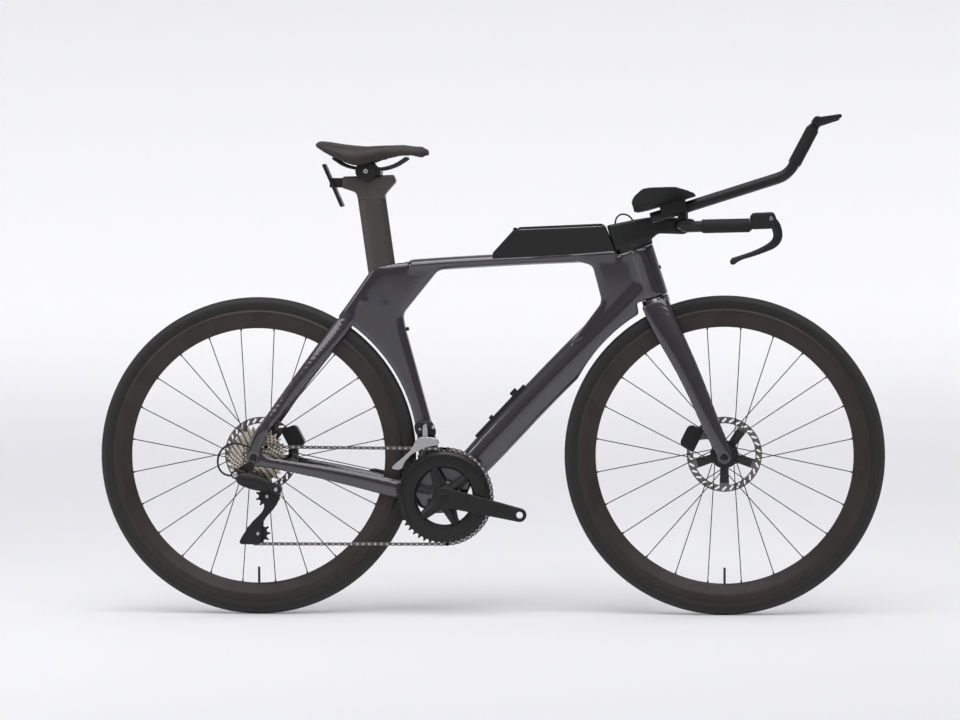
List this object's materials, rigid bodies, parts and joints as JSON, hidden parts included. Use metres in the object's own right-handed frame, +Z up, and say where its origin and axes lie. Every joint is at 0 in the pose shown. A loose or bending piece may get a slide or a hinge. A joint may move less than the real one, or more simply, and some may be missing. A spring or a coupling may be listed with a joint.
{
  "type": "time trial bike",
  "caption": "Time trial bike with bladed frame and fork, disc-brake wheels, geared chain drive, base bar with arm rests and extensions, hinged top-tube box and sliding seatpost.",
  "frame": {"origin": "on the ground, midway between the two axles, in the centre plane of the frame", "axes": "+X points forward, +Y to the rider's left, +Z up; the chain is on the -Y side"},
  "size_m": [1.67, 0.428, 1.055],
  "materials": {
    "frame_paint": "gloss",
    "post_paint": "satin",
    "satin_carbon": "satin",
    "tyre_rubber": "matte",
    "black_alloy": "satin",
    "black_ring": "satin",
    "black_steel": "satin",
    "rotor_steel": "brushed",
    "cassette_steel": "satin",
    "chain_steel": "satin",
    "bright_cage": "polished",
    "black_plastic": "matte",
    "brake_compound": "matte",
    "grip_rubber": "matte",
    "arm_pad_foam": "matte",
    "saddle_leather": "matte"
  },
  "bodies": {
    "frame": {"frame": "frame_paint", "rear_stays": "frame_paint", "frame_bearings": "black_alloy", "rear_thru_axle": "black_alloy", "storage_box": "black_plastic", "frame_fittings": "black_alloy", "front_derailleur_mount": "black_alloy", "rear_caliper": "black_alloy", "rear_shift_cable": "grip_rubber", "rear_derailleur_base": "black_alloy", "chain_upper_run": "chain_steel", "chain_wraps": "chain_steel", "chain_lower_run": "chain_steel"},
    "steering": {"fork": "frame_paint", "front_thru_axle": "black_alloy", "stem": "black_alloy", "base_bar": "black_alloy", "bar_grips": "grip_rubber", "lever_housings": "black_plastic", "arm_rests": "black_plastic", "arm_pads": "arm_pad_foam", "extensions": "black_alloy", "front_caliper": "black_alloy", "stem_cable": "grip_rubber"},
    "front_wheel": {"front_rim": "satin_carbon", "front_tyre": "tyre_rubber", "front_hub": "black_alloy", "front_spokes": "black_steel", "front_rotor": "rotor_steel"},
    "rear_wheel": {"rear_rim": "satin_carbon", "rear_tyre": "tyre_rubber", "rear_hub": "black_alloy", "rear_spokes": "black_steel", "rear_rotor": "rotor_steel"},
    "sprockets": {"cassette": "cassette_steel"},
    "crankset": {"right_crank": "black_alloy", "left_crank": "black_alloy", "outer_chainring": "black_ring", "inner_chainring": "black_ring"},
    "derailleur_link": {"rear_derailleur_link": "black_alloy"},
    "derailleur_cage": {"rear_derailleur_cage": "black_alloy", "chain_cage_run": "chain_steel"},
    "guide_wheel": {"guide_pulley": "black_plastic"},
    "tension_wheel": {"tension_pulley": "black_plastic"},
    "chain_guide": {"front_derailleur_cage": "bright_cage"},
    "right_brake": {"right_brake_lever": "black_plastic"},
    "left_brake": {"left_brake_lever": "black_plastic"},
    "right_shifter": {"right_shift_lever": "black_plastic"},
    "left_shifter": {"left_shift_lever": "black_plastic"},
    "front_pad_right": {"front_brake_pad_right": "brake_compound"},
    "front_pad_left": {"front_brake_pad_left": "brake_compound"},
    "rear_pad_right": {"rear_brake_pad_right": "brake_compound"},
    "rear_pad_left": {"rear_brake_pad_left": "brake_compound"},
    "box_lid": {"storage_lid": "black_plastic"},
    "saddle_set": {"seatpost": "post_paint", "rear_bracket": "black_alloy", "saddle_rails": "black_steel", "saddle_clamp": "black_alloy", "saddle_cover": "saddle_leather", "saddle_shell": "black_plastic"}
  },
  "joints": [
    {"name": "steering_turn", "type": "hinge", "parent": "frame", "child": "steering", "pos_m": [0.3505, 0, 0.6735], "axis": [-0.3007, 0, 0.9537], "range_deg": [-35, 35]},
    {"name": "front_wheel_spin", "type": "hinge", "parent": "steering", "child": "front_wheel", "pos_m": [0.4965, 0, 0.3385], "axis": [0, 1, 0], "continuous": true},
    {"name": "rear_wheel_spin", "type": "hinge", "parent": "frame", "child": "rear_wheel", "pos_m": [-0.4965, 0, 0.3385], "axis": [0, 1, 0], "continuous": true},
    {"name": "crank_spin", "type": "hinge", "parent": "frame", "child": "crankset", "pos_m": [-0.0945, 0, 0.2545], "axis": [0, 1, 0], "continuous": true},
    {"name": "cassette_spin", "type": "hinge", "parent": "frame", "child": "sprockets", "pos_m": [-0.4965, 0, 0.3385], "axis": [0, 1, 0], "continuous": true},
    {"name": "derailleur_swing", "type": "hinge", "parent": "frame", "child": "derailleur_link", "pos_m": [-0.5185, -0.09, 0.3005], "axis": [0.2965, 0.4226, 0.8564], "range_deg": [0, 38], "deforming": ["chain_lower_run"]},
    {"name": "derailleur_cage_turn", "type": "hinge", "parent": "derailleur_link", "child": "derailleur_cage", "pos_m": [-0.4665, -0.09, 0.2825], "axis": [0.2965, 0.4226, 0.8564], "range_deg": [-38, 0], "deforming": ["chain_lower_run"]},
    {"name": "guide_pulley_spin", "type": "hinge", "parent": "derailleur_cage", "child": "guide_wheel", "pos_m": [-0.4685, -0.065, 0.2565], "axis": [0, 1, 0], "continuous": true},
    {"name": "tension_pulley_spin", "type": "hinge", "parent": "derailleur_cage", "child": "tension_wheel", "pos_m": [-0.4885, -0.065, 0.1775], "axis": [0, 1, 0], "continuous": true},
    {"name": "chain_guide_swing", "type": "hinge", "parent": "frame", "child": "chain_guide", "pos_m": [-0.1345, -0.042, 0.4045], "axis": [1, 0, 0], "range_deg": [0, 9], "deforming": ["chain_upper_run"]},
    {"name": "right_brake_pull", "type": "hinge", "parent": "steering", "child": "right_brake", "pos_m": [0.5945, -0.2, 0.8375], "axis": [0, 1, 0], "range_deg": [0, 18], "stiffness_Nm_per_rad": 0.5, "springref_deg": -8.59},
    {"name": "left_brake_pull", "type": "hinge", "parent": "steering", "child": "left_brake", "pos_m": [0.5945, 0.2, 0.8375], "axis": [0, 1, 0], "range_deg": [0, 18], "stiffness_Nm_per_rad": 0.5, "springref_deg": -8.59},
    {"name": "right_shift", "type": "hinge", "parent": "steering", "child": "right_shifter", "pos_m": [0.6925, -0.0858, 1.0405], "axis": [0, 1, 0], "range_deg": [0, 75]},
    {"name": "left_shift", "type": "hinge", "parent": "steering", "child": "left_shifter", "pos_m": [0.6925, 0.0858, 1.0405], "axis": [0, 1, 0], "range_deg": [-45, 0]},
    {"name": "front_pad_right_press", "type": "slide", "parent": "steering", "child": "front_pad_right", "axis": [0, 1, 0], "range_m": [0, 0.00025]},
    {"name": "front_pad_left_press", "type": "slide", "parent": "steering", "child": "front_pad_left", "axis": [0, -1, 0], "range_m": [0, 0.00025]},
    {"name": "rear_pad_right_press", "type": "slide", "parent": "frame", "child": "rear_pad_right", "axis": [0, 1, 0], "range_m": [0, 0.00025]},
    {"name": "rear_pad_left_press", "type": "slide", "parent": "frame", "child": "rear_pad_left", "axis": [0, -1, 0], "range_m": [0, 0.00025]},
    {"name": "box_lid_open", "type": "hinge", "parent": "frame", "child": "box_lid", "pos_m": [0.0555, 0, 0.8185], "axis": [0, -1, 0], "range_deg": [0, 100]},
    {"name": "seatpost_height", "type": "slide", "parent": "frame", "child": "saddle_set", "axis": [-0.1357, 0, 0.9907], "range_m": [-0.015, 0.03]}
  ],
  "couplings": [
    {"joint": "cassette_spin", "follows": "crank_spin", "ratio": 4.5455},
    {"joint": "guide_pulley_spin", "follows": "crank_spin", "ratio": -4.5455},
    {"joint": "tension_pulley_spin", "follows": "crank_spin", "ratio": 4.5455},
    {"joint": "derailleur_swing", "follows": "right_shift", "ratio": 0.5066},
    {"joint": "derailleur_cage_turn", "follows": "right_shift", "ratio": -0.5066},
    {"joint": "chain_guide_swing", "follows": "left_shift", "ratio": -0.2},
    {"joint": "front_pad_right_press", "follows": "left_brake_pull", "m_per_rad": 0.00079577},
    {"joint": "front_pad_left_press", "follows": "left_brake_pull", "m_per_rad": 0.00079577},
    {"joint": "rear_pad_right_press", "follows": "right_brake_pull", "m_per_rad": 0.00079577},
    {"joint": "rear_pad_left_press", "follows": "right_brake_pull", "m_per_rad": 0.00079577}
  ]
}
